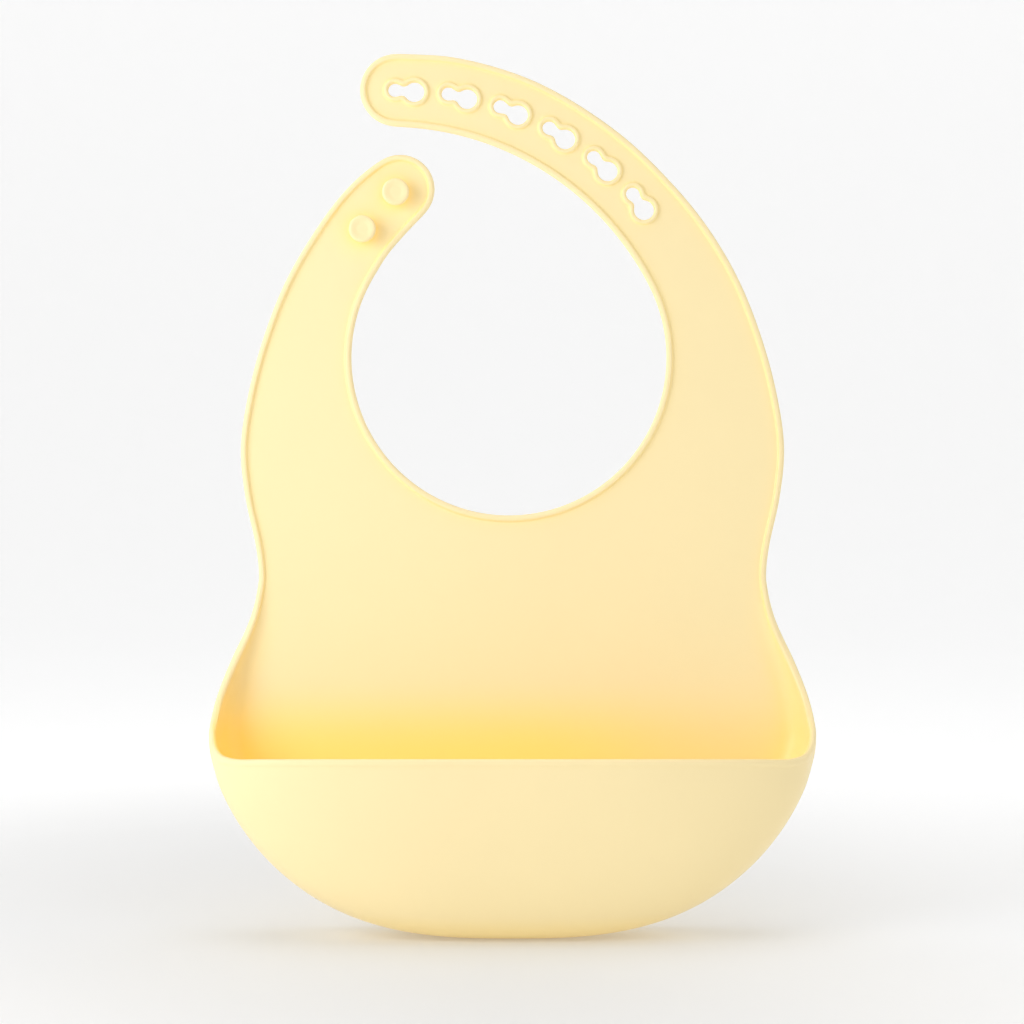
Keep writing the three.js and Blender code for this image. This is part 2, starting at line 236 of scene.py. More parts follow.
def spline(places, per_span=24):
    """A centripetal Catmull-Rom curve through the places, in two or three dimensions."""
    p = np.asarray(places, float)
    p = np.vstack([2 * p[0] - p[1], p, 2 * p[-1] - p[-2]])
    out = []
    for a, b, c, d in zip(p[:-3], p[1:-2], p[2:-1], p[3:]):
        t0, t1, t2 = (max(np.linalg.norm(v) ** 0.5, 1e-4) for v in (b - a, c - b, d - c))
        m1 = t1 * ((b - a) / t0 - (c - a) / (t0 + t1) + (c - b) / t1)
        m2 = t1 * ((c - b) / t1 - (d - b) / (t1 + t2) + (d - c) / t2)
        t = np.linspace(0, 1, per_span, endpoint=False)[:, None]
        cubic, square = 2 * b - 2 * c + m1 + m2, -3 * b + 3 * c - 2 * m1 - m2
        out.append(cubic * t ** 3 + square * t ** 2 + m1 * t + b)
    return np.vstack(out + [p[-2:-1]])


def lengths(curve):
    """Distance along a curve at each of its points."""
    return np.concatenate([[0], np.cumsum(np.linalg.norm(np.diff(curve, axis=0), axis=1))])


def at_length(curve, where):
    """Points of a curve at the given distances along it."""
    s = lengths(curve)
    return np.column_stack([np.interp(where, s, curve[:, k]) for k in range(curve.shape[1])])


def smooth(values, rounds):
    """Values evened out along a line, with both ends held."""
    v = np.array(values, float)
    for _ in range(rounds):
        v[1:-1] = 0.25 * v[:-2] + 0.5 * v[1:-1] + 0.25 * v[2:]
    return v


def joined(*curves):
    """Curves end to end, without doubled points."""
    whole = np.vstack(curves)
    keep = np.concatenate([[True], np.linalg.norm(np.diff(whole, axis=0), axis=1) > 0.02])
    return whole[keep]


def left_of(curve):
    """Unit vectors to the left of a plane curve's direction."""
    along = np.gradient(curve, axis=0)
    along /= np.linalg.norm(along, axis=1)[:, None]
    return np.column_stack([-along[:, 1], along[:, 0]])


def smoothstep(low, high, x):
    """An even step from 0 to 1 with soft ends."""
    t = np.clip((x - low) / (high - low), 0, 1)
    return t * t * (3 - 2 * t)


def free_edge():
    """The sheet's free edge: up the right side, round both straps and down the left side to the waist."""
    reach = NECK_RADIUS - STRAP_INNER_RADIUS
    inner_x = NECK_X + reach * math.cos(math.radians(STRAP_INNER_START))
    inner_z = reach * math.sin(math.radians(STRAP_INNER_START))
    tip_end = math.degrees(math.atan2(TIP_Z - inner_z, TIP_X - inner_x))
    tip = arc(TIP_X, TIP_Z, TIP_RADIUS, TIP_ANGLE, 180 + tip_end)
    tab = arc(TAB_X, TAB_Z, TAB_RADIUS, THROAT_ANGLE, TAB_ANGLE)
    neck = arc(NECK_X, 0, NECK_RADIUS, STRAP_INNER_START, NECK_END)
    right = spline([tip[0]] + STRAP_TOP + SIDE)[::-1]
    left = spline([tab[-1]] + TAB_SHOULDER + [(-x, z) for x, z in SIDE])
    whole = joined(
        right[right[:, 1] > WAIST - 0.01],
        tip,
        arc(inner_x, inner_z, STRAP_INNER_RADIUS, tip_end, STRAP_INNER_START),
        neck,
        spline([neck[-1]] + TAB_THROAT + [tab[0]]),
        tab,
        left[left[:, 1] > WAIST - 0.01],
    )
    count = int(lengths(whole)[-1] / STEP)
    even = at_length(whole, np.linspace(0, lengths(whole)[-1], count + 1))
    for k in (0, 1):
        even[:, k] = smooth(even[:, k], 6)
    return even


# ---- The catcher's right half, from the waist to the middle ----

def bowl_height(x):
    """Height of the catcher's outline under the place x."""
    rest = np.clip(1 - (np.abs(x) / BOWL_HALF) ** BOWL_SIDEWAYS, 0, 1)
    return BOWL_TOP - BOWL_HEIGHT * rest ** (1 / BOWL_DOWN)


def bowl_outline():
    """The catcher's outline from the waist down to the middle of its bottom."""
    side = spline(SIDE)
    side = side[side[:, 1] < WAIST + 0.01]
    angle = np.linspace(0, math.pi / 2, 240)[1:]
    x = BOWL_HALF * np.cos(angle) ** (2 / BOWL_SIDEWAYS)
    curve = joined(side, np.column_stack([x, bowl_height(x)]))
    even = at_length(curve, np.linspace(0, lengths(curve)[-1], 400))
    for k in (0, 1):
        even[:, k] = smooth(even[:, k], 30)
    return even


def lip_depth(x):
    """How far the lip stands in front of the back, seen from above."""
    across = np.clip(np.abs(x) / BOWL_HALF, 0, 1)
    return SIDE_DEPTH + (FRONT_DEPTH - SIDE_DEPTH) * np.sqrt(1 - across ** LIP_SQUARE)


def rim_and_outline():
    """Matching points of the rim (x, depth, z) and of the outline (x, z), from the waist to the middle."""
    outline = bowl_outline()
    s = lengths(outline)
    length_at_z = lambda z: np.interp(-z, -outline[:, 1], s)
    wing_z = np.array(WING_HEIGHTS)
    wing = at_length(outline, length_at_z(wing_z))
    share = (WAIST - wing_z) / (WAIST - BOWL_TOP)
    rims = [(x, SIDE_DEPTH * f ** WING_CURVE, z) for (x, z), f in zip(wing, share)]
    places = list(length_at_z(wing_z))
    for rim, z in LIP_CORNER:
        rims.append(rim)
        places.append(length_at_z(z))
    for x in np.linspace(LIP_START, 0, 13):
        depth = lip_depth(x)
        rims.append((x, depth, LIP_Z - LIP_CROWN * (FRONT_DEPTH - depth)))
        places.append(length_at_z(bowl_height(x)))
    rim = spline(rims)
    knots = lengths(rim)[::24]
    count = int(lengths(rim)[-1] / STEP)
    where = np.linspace(0, lengths(rim)[-1], count + 1)
    rim = at_length(rim, where)
    for k in range(3):
        rim[:, k] = smooth(rim[:, k], 6)
    return rim, at_length(outline, smooth(np.interp(where, knots, places), 40))


def outline_depth(rim, outline):
    """Depth of the outline behind each rim point: the rim's own on the wing, then growing to the bottom."""
    below, depths = zip(*OUTLINE_DEPTHS)
    bowl = np.interp(-outline[:, 1], below, depths)
    lead = np.linalg.norm(rim[:, [0, 2]] - outline, axis=1)
    blend = smoothstep(0, 6, lead)
    return smooth(rim[:, 1] * (1 - blend) + np.minimum(bowl, rim[:, 1]) * blend, 10)


def bezier(points, t):
    """A Bezier curve of any degree, for arrays of control points of shape (stations, 3)."""
    degree = len(points) - 1
    total = 0
    for k, p in enumerate(points):
        total = total + math.comb(degree, k) * (1 - t) ** (degree - k) * t ** k * p[:, None, :]
    return total


def catcher_paths():
    """A dense path over the outer skin for each station of the right half, from the flat panel to the rim."""
    rim, outline = rim_and_outline()
    depth = outline_depth(rim, outline)
    down = np.clip((WAIST - outline[:, 1]) / (WAIST - BOWL_TOP), 0, 1)
    below = np.clip((BOWL_TOP - outline[:, 1]) / BOWL_HEIGHT, 0, 1)
    band = WAIST_FILLET + (SIDE_FILLET - WAIST_FILLET) * down + (BOTTOM_FILLET - SIDE_FILLET) * below
    band = smooth(band, 10)
    inward = -left_of(outline)
    inward[-1] = (0, 1)
    place = lambda inset, y: np.column_stack([
        outline[:, 0] + inward[:, 0] * inset, -y, outline[:, 1] + inward[:, 1] * inset])
    zero = np.zeros_like(depth)
    rim3 = np.column_stack([rim[:, 0], -rim[:, 1], rim[:, 2]])
    edge3 = place(zero, depth)
    knee = [place(band, zero), place(band / 2 * (1 - down), zero), edge3]
    wall = bezier(knee, np.linspace(0, 1, WALL_POINTS)[None, :, None])
    lead = np.linalg.norm(rim[:, [0, 2]] - outline, axis=1)
    turn = smoothstep(ARRIVE_START, ARRIVE_FULL, lead) * math.pi / 2
    arrive = np.column_stack([zero, -np.cos(turn), np.sin(turn)])
    gap = rim3 - edge3
    first = edge3 + np.column_stack([zero, FLOOR_ROUND * gap[:, 1], zero])
    reach = WALL_ROUND * (np.abs(gap[:, 2]) * np.sin(turn) + np.abs(gap[:, 1]) * np.cos(turn))
    bulge = [edge3, first, rim3 - arrive * reach[:, None], rim3]
    front = bezier(bulge, np.linspace(0, 1, FRONT_POINTS)[None, 1:, None])
    return np.concatenate([wall, front], axis=1)


def mirror_half(half):
    """A half's stations with their mirror image, from the left waist round to the right waist."""
    other = half.copy()
    other[..., 0] *= -1
    return np.concatenate([other, half[-2::-1]], axis=0)


# ---- The skin ----

class Skin:
    """Vertices and faces gathered from grids, in millimetres."""

    def __init__(self):
        self.points, self.faces, self.count = [], [], 0

    def add(self, points):
        start = self.count
        flat = np.asarray(points, float).reshape(-1, 3)
        self.points.append(flat)
        self.count += len(flat)
        return start

    def grid(self, points, wrap=False):
        """Quads over a grid of shape (stations, rows, 3)."""
        stations, rows = points.shape[:2]
        start = self.add(points)
        for i in range(stations if wrap else stations - 1):
            a, b = start + i * rows, start + (i + 1) % stations * rows
            self.faces += [(a + j, b + j, b + j + 1, a + j + 1) for j in range(rows - 1)]


def bead_shape(r):
    """Height of the bead over the sheet, 0 to 1, at a distance from the edge."""
    foot = 1 - smoothstep(BEAD_WIDTH - BEAD_FOOT, BEAD_WIDTH + BEAD_FADE, r)
    return foot * (1 - BEAD_CROWN * ((r - 0.5 * BEAD_WIDTH) / (0.5 * BEAD_WIDTH)) ** 2 * (r < BEAD_WIDTH))


# Distances from the edge of the rows that carry the bead, and of those that carry the skin's normals under it
BAND_ROWS = np.array([3.0, 2.0, 1.0, 0.0])
BEAD_ROWS = np.array([
    BAND, 3.3, 2.85, 2.7, 2.55, 2.4, 2.25, 2.1, 1.9, 1.6, 1.3, 1.05, 0.8, 0.58, 0.38, 0.2, 0.08, 0.0])


def band_profile(front_rise, back_rise):
    """The bead's cross-section: (distance from the edge, height over the outer skin), from front to back."""
    middle = (SHEET + front_rise - back_rise) / 2
    nose = np.sqrt(1 - (1 - np.minimum(BEAD_ROWS / NOSE, 1)) ** 2)
    front = middle + (SHEET + front_rise * bead_shape(BEAD_ROWS) - middle) * nose
    back = middle + (-back_rise * bead_shape(BEAD_ROWS) - middle) * nose
    rows = np.concatenate([BEAD_ROWS, BEAD_ROWS[-2::-1]])
    return rows, np.concatenate([front, back[-2::-1]])


def point_on_paths(paths, from_rim):
    """The point of every path at its own distance back from the rim."""
    steps = np.linalg.norm(np.diff(paths, axis=1), axis=2)
    s = np.concatenate([np.zeros((len(paths), 1)), np.cumsum(steps, axis=1)], axis=1)
    where = s[:, -1] - from_rim
    out = np.empty((len(paths), 3))
    for i, path in enumerate(paths):
        out[i] = [np.interp(where[i], s[i], path[:, k]) for k in range(3)]
    return out


def path_lengths(paths):
    """The whole length of every path."""
    return np.linalg.norm(np.diff(paths, axis=1), axis=2).sum(axis=1)


def grid_normals(grid):
    """Unit normals of a grid, towards the front and the inside of the catcher."""
    across = np.gradient(grid, axis=0)
    up = np.gradient(grid, axis=1)
    normal = np.cross(up, across)
    normal /= np.linalg.norm(normal, axis=2)[..., None] + 1e-12
    normal[:, 0] = normal[0] = normal[-1] = (0, -1, 0)
    return normal


def catcher_skin(skin):
    """The catcher's walls from the flat panel to the rim band. Returns the rim's paths, the flat panel's
    outline where the catcher meets it, and the normals under the rim band."""
    half = catcher_paths()
    total = path_lengths(half)
    wall = path_lengths(half[:, :WALL_POINTS])
    plain = np.maximum(total - BAND, 0)
    knee = plain / 2 + (wall - plain / 2) * smoothstep(0, KNEE_FADE, total - wall)
    fractions = np.linspace(0, 1, WALL_ROWS // 2 + 1)
    low = knee[:, None] * fractions[None, :]
    high = knee[:, None] + (plain - knee)[:, None] * fractions[None, 1:]
    where = np.concatenate([low, high], axis=1)
    where = np.concatenate([where, total[:, None] - BAND_ROWS[None, :]], axis=1)
    grid = np.stack([point_on_paths(half, total - where[:, j]) for j in range(where.shape[1])], axis=1)
    whole = mirror_half(grid)
    normal = grid_normals(whole)
    rows = where.shape[1] - len(BAND_ROWS)
    inner = whole[:, :rows] + normal[:, :rows] * SHEET
    skin.grid(inner)
    skin.grid(whole[:, :rows][:, ::-1])
    foot = np.vstack([whole[0, :rows][::-1], whole[1:-1, 0], whole[-1, :rows]])
    return mirror_half(half), foot[:, [0, 2]], normal[:, rows - 1:]


def rim_band(skin):
    """The bead round the whole free edge and rim. Returns the flat panel's outline inside it."""
    edge = free_edge()
    inward = left_of(edge)
    junction = edge + inward * BAND
    paths, foot, band_normals = catcher_skin(skin)
    depth = -paths[:, -1, 1]
    share = smoothstep(0, SIDE_DEPTH, depth)
    sections = []
    for i in range(1, len(edge) - 1):
        rows, height = band_profile(BEAD_RISE, 0)
        x, z = (edge[i, k] + inward[i, k] * rows for k in (0, 1))
        sections.append(np.column_stack([x, -height, z]))
    normal_rows = np.concatenate([[BAND], BAND_ROWS])
    rim = []
    for path, normals, f in zip(paths, band_normals, share):
        rows, height = band_profile(BEAD_RISE + (RIM_RISE - BEAD_RISE) * f, RIM_RISE * f)
        s = lengths(path)
        base = at_length(path, s[-1] - rows)
        n = np.column_stack([np.interp(-rows, -normal_rows, normals[:, k]) for k in range(3)])
        n /= np.linalg.norm(n, axis=1)[:, None]
        rim.append(base + n * height[:, None])
    skin.grid(np.stack(sections + rim), wrap=True)
    return np.vstack([junction[1:-1], foot])


def keyhole_rings():
    """Rings round each keyhole at growing distances from its edge, shape (rings, points, 2)."""
    reach = np.array([0, 0.06, 0.18, 0.35, 0.6, 0.9, 1.2, 1.45, 1.65, 1.8, 1.95, 2.15, COLLAR_REACH])
    angles = np.linspace(0, 2 * math.pi, 96, endpoint=False)
    ray = np.column_stack([np.cos(angles), np.sin(angles)])
    out = []
    for d in reach:
        low, high = np.zeros(len(ray)), np.full(len(ray), 20.0)
        for _ in range(40):
            middle = (low + high) / 2
            inside = keyhole_distance(ray * middle[:, None]) < d
            low, high = np.where(inside, middle, low), np.where(inside, high, middle)
        out.append(ray * low[:, None])
    return reach, np.array(out)


def keyhole_distance(p):
    """Distance outside a keyhole that lies along x: the small end at -x, joined by a neck to the big end."""
    a, b = -HOLE_APART * 0.60, HOLE_APART * 0.40
    small = np.hypot(p[:, 0] - a, p[:, 1]) - HOLE_SMALL
    big = np.hypot(p[:, 0] - b, p[:, 1]) - HOLE_BIG
    neck = np.hypot(p[:, 0] - np.clip(p[:, 0], a, b), p[:, 1]) - HOLE_NECK
    return soft_min(soft_min(small, neck), big)


def soft_min(a, b):
    """The smaller of two distances, with the corner between them rounded."""
    h = np.clip(0.5 + 0.5 * (b - a) / HOLE_SOFTNESS, 0, 1)
    return b * (1 - h) + a * h - HOLE_SOFTNESS * h * (1 - h)


def collar_profile(reach):
    """Front heights of the collar over the distances from the keyhole's edge, as y."""
    crown = np.sqrt(np.clip(1 - ((reach - COLLAR_WIDTH * 0.5) / (COLLAR_WIDTH * 0.5)) ** 2, 0, 1))
    inner = reach < COLLAR_WIDTH * 0.5
    crown = np.where(inner, 0.1 + 0.9 * crown, crown ** 1.2)
    foot = 0.12 * np.exp(-((reach - COLLAR_WIDTH) / 0.25) ** 2)
    return SHEET + COLLAR_RISE * np.clip(crown + foot * (reach > 1.2), 0, 1) * (reach < COLLAR_REACH - 0.4)


def at_height(ring, height):
    """A ring of (x, z) points, placed at a height over the flat back."""
    return np.column_stack([ring[:, 0], np.full(len(ring), -height), ring[:, 1]])


def collars(skin):
    """The keyholes with their raised collars. Returns each one's outer ring on the flat sheet."""
    reach, rings = keyhole_rings()
    front = collar_profile(reach)
    back = np.where(reach < BACK_ROUND, BACK_DIP * (1 - reach / BACK_ROUND) ** 2, 0)
    outer = []
    for index in range(KEYHOLES):
        angle = math.radians(HOLE_FIRST - HOLE_PITCH * index)
        along = np.array([math.sin(angle), -math.cos(angle)])
        aside = np.array([-along[1], along[0]])
        outward = np.array([math.cos(angle), math.sin(angle)])
        centre = np.array([HOLE_ARC_X, HOLE_ARC_Z]) + HOLE_ARC_RADIUS * outward
        origin = centre + along * HOLE_APART * 0.10 + aside * HOLE_OUT
        cos, sin = math.cos(math.radians(HOLE_LEAN)), math.sin(math.radians(HOLE_LEAN))
        along, aside = along * cos - aside * sin, aside * cos + along * sin
        flat = origin + rings[..., :1] * along + rings[..., 1:] * aside
        wall = np.linspace(front[0] - 0.25, back[0] + 0.15, 5)
        rows = [at_height(ring, y) for ring, y in zip(flat[::-1], front[::-1])]
        rows += [at_height(flat[0], y) for y in wall]
        rows += [at_height(ring, y) for ring, y in zip(flat, back)]
        skin.grid(np.stack(rows, axis=1), wrap=True)
        outer.append(flat[-1])
    return outer


def inside(points, loop):
    """Whether each point lies inside a closed loop."""
    x, z = points[:, 0][:, None], points[:, 1][:, None]
    x0, z0 = loop[:, 0][None], loop[:, 1][None]
    x1, z1 = np.roll(x0, -1, 1), np.roll(z0, -1, 1)
    crosses = (z0 > z) != (z1 > z)
    at = x0 + (z - z0) * (x1 - x0) / np.where(z1 == z0, 1e-12, z1 - z0)
    return (crosses & (x < at)).sum(1) % 2 == 1


def flat_sheet(skin, outline, holes):
    """Both faces of the flat sheet, between its outline and the collars."""
    loops = [outline] + holes
    edges, start = [], 0
    for loop in loops:
        n = len(loop)
        edges += [(start + i, start + (i + 1) % n) for i in range(n)]
        start += n
    rim = np.vstack(loops)
    low, high = outline.min(0), outline.max(0)
    rows = np.arange(low[1], high[1], GRID * math.sqrt(0.75))
    lattice = np.vstack([
        np.column_stack([x := np.arange(low[0] + GRID / 2 * (k % 2), high[0], GRID), np.full(len(x), z)])
        for k, z in enumerate(rows)])
    keep = inside(lattice, outline)
    for hole in holes:
        keep &= ~inside(lattice, hole)
    lattice = lattice[keep]
    clear = np.array([np.min(np.sum((rim - p) ** 2, axis=1)) for p in lattice]) > (0.55 * GRID) ** 2
    points = np.vstack([rim, lattice[clear]])
    made, _, faces, *_ = delaunay_2d_cdt([Vector(p) for p in points], edges, [], 0, 1e-6)
    made = np.array([tuple(v) for v in made])
    faces = np.array([f for f in faces if len(f) == 3])
    centres = made[faces].mean(axis=1)
    keep = inside(centres, outline)
    for hole in holes:
        keep &= ~inside(centres, hole)
    faces = faces[keep]
    for height, order in ((SHEET, 1), (0.0, -1)):
        first = skin.add(at_height(made, height))
        skin.faces += [tuple(int(first + i) for i in f[::order]) for f in faces]


def whole_bib():
    """The bib's skin as one closed mesh, in metres."""
    skin = Skin()
    outline = rim_band(skin)
    holes = collars(skin)
    flat_sheet(skin, outline, holes)
    mesh = bpy.data.meshes.new("bib")
    points = np.vstack(skin.points) * MM
    mesh.from_pydata(points.tolist(), [], skin.faces)
    bm = bmesh.new()
    bm.from_mesh(mesh)
    bpy.data.meshes.remove(mesh)
    bmesh.ops.remove_doubles(bm, verts=bm.verts, dist=MERGE * MM)
    bmesh.ops.dissolve_degenerate(bm, edges=bm.edges, dist=SLIVER * MM)
    loose = [v for v in bm.verts if not v.link_faces]
    bmesh.ops.delete(bm, geom=loose, context="VERTS")
    bmesh.ops.recalc_face_normals(bm, faces=bm.faces)
    return bm


# ---- Pieces ----

# Heights of the level cuts, and where the short strap lies. A curl is the middle of a bend (x, z), the
# strap's direction there in degrees, and half the bend's length. A bend is where it starts and where it ends.
CATCHER_CUT, STRAP_CUT = -108, -17
SHORT_LEFT_OF, SHORT_BELOW = -20, 78
SHORT_CURL = (-75, 30, 53, 8)
LONG_CURL = (57.3, 40.2, 123, 14)
TIP_CURL = (8.4, 85, 154.9, 19.5)
PANEL_BEND = (-50, -106)
STRAP_BEND = (-14, 20)
FRONT_BEND = (-14, -42)


def curl_line(curl):
    """A curl's middle and its direction along the strap, with its half length, in millimetres."""
    x, z, angle, half = curl
    turn = math.radians(angle)
    return Vector((x, 0, z)), Vector((math.cos(turn), 0, math.sin(turn))), half


def past(curl, point):
    """Whether a point lies past the start of a curl."""
    middle, along, half = curl_line(curl)
    return (point - middle).dot(along) > -half


def piece_at(point):
    """The name of the piece that holds a point, in millimetres."""
    if point.z < CATCHER_CUT:
        return "bib_catcher"
    if point.z < STRAP_CUT:
        return "bib_panel"
    if point.x < SHORT_LEFT_OF and point.z < SHORT_BELOW:
        return "short_strap_end" if past(SHORT_CURL, point) else "short_strap_foot"
    if past(TIP_CURL, point):
        return "long_strap_end"
    return "long_strap_body" if past(LONG_CURL, point) else "long_strap_foot"


def cut(bm, point, normal, names):
    """Cuts the faces of the named pieces along a plane."""
    faces = [f for f in bm.faces if piece_at(f.calc_center_median() / MM) in names]
    edges = {e for f in faces for e in f.edges}
    verts = {v for f in faces for v in f.verts}
    bmesh.ops.bisect_plane(
        bm, geom=list(verts) + list(edges) + faces, dist=0.002 * MM,
        plane_co=Vector(point) * MM, plane_no=Vector(normal))


def cut_curl(bm, curl, names):
    """Cuts the faces of the named pieces where a curl starts."""
    middle, along, half = curl_line(curl)
    cut(bm, middle - along * half, along, names)


def split_bib():
    """The bib's skin, cut at its bends into one closed mesh object for each piece."""
    bm = whole_bib()
    short = ("short_strap_foot", "short_strap_end")
    long = ("long_strap_foot", "long_strap_body", "long_strap_end")
    cut(bm, (0, 0, CATCHER_CUT), (0, 0, 1), ("bib_catcher", "bib_panel"))
    cut(bm, (0, 0, STRAP_CUT), (0, 0, 1), ("bib_panel",) + short + long)
    cut_curl(bm, SHORT_CURL, short)
    cut_curl(bm, LONG_CURL, long)
    cut_curl(bm, TIP_CURL, long)
    bm.normal_update()
    keep = bm.verts.layers.float_vector.new("whole_normal")
    for v in bm.verts:
        v[keep] = v.normal
    names = [piece_at(f.calc_center_median() / MM) for f in bm.faces]
    made = {name: one_piece(bm, name, names) for name in sorted(set(names))}
    bm.free()
    return made


def one_piece(whole, name, names):
    """A closed piece of the whole skin, shaded with the whole skin's normals."""
    bm = whole.copy()
    bm.faces.ensure_lookup_table()
    away = [bm.faces[i] for i, n in enumerate(names) if n != name]
    bmesh.ops.delete(bm, geom=away, context="FACES")
    border = [e for e in bm.edges if len(e.link_faces) == 1]
    cap = bm.faces.layers.int.new("cap")
    for face in bmesh.ops.edgeloop_fill(bm, edges=border)["faces"]:
        face[cap] = 1
    for edge in border:
        edge.smooth = False
    bmesh.ops.recalc_face_normals(bm, faces=bm.faces)
    bmesh.ops.triangulate(bm, faces=[f for f in bm.faces if f[cap]])
    keep = bm.verts.layers.float_vector["whole_normal"]
    normals = []
    for face in bm.faces:
        face.smooth = True
        normals += [face.normal.copy() if face[cap] else v[keep].copy() for v in face.verts]
    # Each point also carries how much painted shade it takes inside the catcher
    depths = [pocket_shade_at(v.co / MM, v[keep]) for v in bm.verts]
    obj = mesh_object(name, bm)
    obj.data.normals_split_custom_set(normals)
    obj.data.attributes.new("pocket_shade", "FLOAT", "POINT").data.foreach_set("value", depths)
    return obj


def pocket_shade_at(place, normal):
    """How much painted shade a point of the skin takes for lying inside the catcher, 0 to 1. Only faces that look
    into the catcher count, most just below the lip, and less on the right, which the key light reaches."""
    into = Vector(POCKET_MIDDLE) - place
    facing = smoothstep(0.0, 6.0, into.dot(normal))
    sinking = smoothstep(POCKET_START, POCKET_FULL, place.z)
    sinking *= 1 - POCKET_FADE * smoothstep(POCKET_FULL, POCKET_FLOOR, place.z)
    lit_side = 1 - POCKET_FADE * smoothstep(0, POCKET_SIDE, place.x)
    return float(facing * sinking * lit_side)


def mesh_object(name, bm):
    """A new object that holds the mesh, placed from the centre of the neck opening."""
    bmesh.ops.translate(bm, verts=bm.verts, vec=(-NECK_X * MM, 0, 0))
    mesh = bpy.data.meshes.new(name)
    bm.to_mesh(mesh)
    bm.free()
    for layer in ("whole_normal", "cap"):
        if layer in mesh.attributes:
            mesh.attributes.remove(mesh.attributes[layer])
    obj = bpy.data.objects.new(name, mesh)
    bpy.context.collection.objects.link(obj)
    return obj


def stud_profile():
    """A stud's outline from its foot in the tab to the middle of its head: (radius, height)."""
    foot = STUD_STEM + 1.0
    rows = [(foot, SHEET - 0.25), (foot, SHEET)]
    for a in np.radians(np.linspace(80, 0, 7)):
        rows.append((foot - STUD_FILLET * math.cos(a), SHEET + 0.02 + STUD_FILLET * (1 - math.sin(a))))
    rows += [(STUD_STEM, 3.6), (STUD_STEM, 4.6)]
    for a in np.radians(np.linspace(0, 90, 6)):
        rows.append((STUD_STEM + 0.5 * (1 - math.cos(a)), HEAD_BACK - 0.5 + 0.5 * math.sin(a)))
    middle, half = (HEAD_BACK + HEAD_FRONT) / 2, (HEAD_FRONT - HEAD_BACK) / 2
    for a in np.radians(np.linspace(-90, 90, 21)):
        rows.append((STUD_HEAD - half + half * math.cos(a), middle + half * math.sin(a)))
    edge = STUD_HEAD - half
    for share in np.linspace(0.94, 0.0, 14):
        fall = STUD_DISH * (1 - smoothstep(0.45, 0.98, share))
        rows.append((edge * share, HEAD_FRONT - float(fall)))
    return rows


def stud(name, x, z):
    """A stud: a short stem, a rounded head and a shallow dish in its face."""
    bm = bmesh.new()
    around = np.linspace(0, 2 * math.pi, 72, endpoint=False)
    rings = []
    for radius, height in stud_profile()[:-1]:
        places = [(x + radius * math.cos(a), -height, z + radius * math.sin(a)) for a in around]
        rings.append([bm.verts.new([c * MM for c in place]) for place in places])
    for low, high in zip(rings, rings[1:]):
        for k in range(len(around)):
            n = (k + 1) % len(around)
            bm.faces.new((low[k], low[n], high[n], high[k]))
    centre = bm.verts.new((x * MM, -stud_profile()[-1][1] * MM, z * MM))
    for k in range(len(around)):
        bm.faces.new((rings[-1][k], rings[-1][(k + 1) % len(around)], centre))
    bm.faces.new(rings[0])
    bmesh.ops.recalc_face_normals(bm, faces=bm.faces)
    for face in bm.faces:
        face.smooth = len(face.verts) < 5
    return mesh_object(name, bm)


# ---- Material ----

# Colours, and how strongly sheltered places take a painted shade, a deeper colour, and a painted glow, with a
# faint painted glow all over. Lengths here are in metres.
SILICONE = (0.965, 0.825, 0.48)
SILICONE_PAINTED_SHADE = (0.985, 0.73, 0.10)
PAINTED_GLOW_COLOUR = (1.0, 0.58, 0.09)
MOTTLE = 0.985
SHELTER_REACH, SHELTER_PAINTED_GLOW, PAINTED_GLOW_ALL_OVER = 0.010, 0.24, 0.08
SHELTER_OPEN, SHELTER_CLOSED = 0.95, 0.35
NOOK_PAINTED_SHADE, POCKET_PAINTED_SHADE = 0.62, 0.58
GROUND_LOW, GROUND_HIGH, GROUND_SHADE_SHARE = -0.200, -0.155, 0.25

# The painted shade inside the catcher, in millimetres: its middle, the heights where the shade starts, is full
# and has faded, and the width over which it fades towards the side the key light reaches
POCKET_MIDDLE, POCKET_START, POCKET_FULL, POCKET_FLOOR = (0, -20, -150), -114, -142, -162
POCKET_SIDE, POCKET_FADE = 90, 0.7

# The backdrop's glow, as (start, end, low, high) in metres: across the front, away from the bib, and in depth.
# Close to the bib the glow is low: partly this evens out the key light's pool on the floor, partly it is a
# painted shade round the bib.
PAPER = 0.70
SHADED_FRONT_GLOW = (-0.02, 0.22, 0.15, 0.34)
AWAY = (0.16, 0.60, 0.0, 1.0)
BACK_GLOW = (-0.6, 0.5, 0.30, 0.465)


